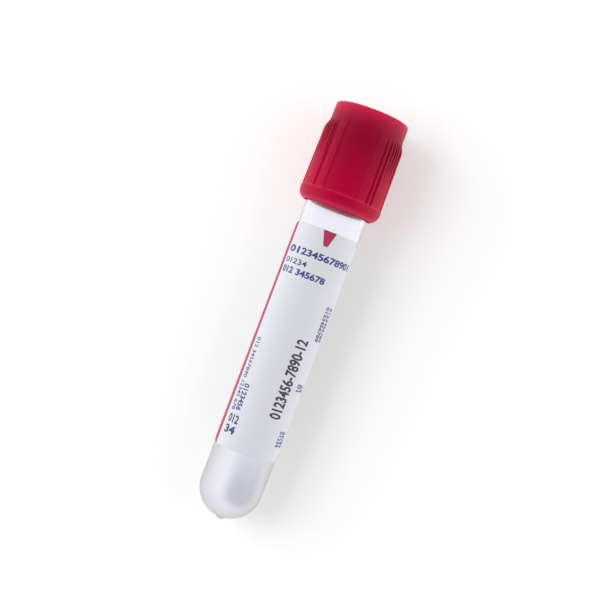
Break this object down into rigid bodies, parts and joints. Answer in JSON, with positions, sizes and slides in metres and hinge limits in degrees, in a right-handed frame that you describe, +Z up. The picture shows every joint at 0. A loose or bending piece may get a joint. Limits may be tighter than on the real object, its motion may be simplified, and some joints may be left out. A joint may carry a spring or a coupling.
{
  "type": "blood collection tube",
  "caption": "Round-bottomed clear plastic tube with a wrapped label, closed by a red rubber stopper in a ribbed red safety cap that pulls off along the tube.",
  "frame": {"origin": "centre of the bounding box's footprint, on the table that the tube lies on", "axes": "+X along the tube towards the cap (the tube's own axis rises 2.0 degrees towards the cap), +Z up"},
  "size_m": [0.0856, 0.0168, 0.0167],
  "materials": {
    "clear_plastic": "clear, polished, faint lavender tint",
    "label_paper": "matt coated paper with red, blue and black print",
    "red_rubber": "matt moulded rubber",
    "red_plastic": "satin, slightly translucent moulded plastic"
  },
  "bodies": {
    "tube_body": {"tube": "clear_plastic", "label": "label_paper"},
    "closure": {"shield": "red_plastic", "stopper": "red_rubber"}
  },
  "joints": [
    {"name": "closure_pull", "type": "slide", "parent": "tube_body", "child": "closure", "axis": [0.9994, 0, 0.0343], "range_m": [0, 0.025]}
  ]
}
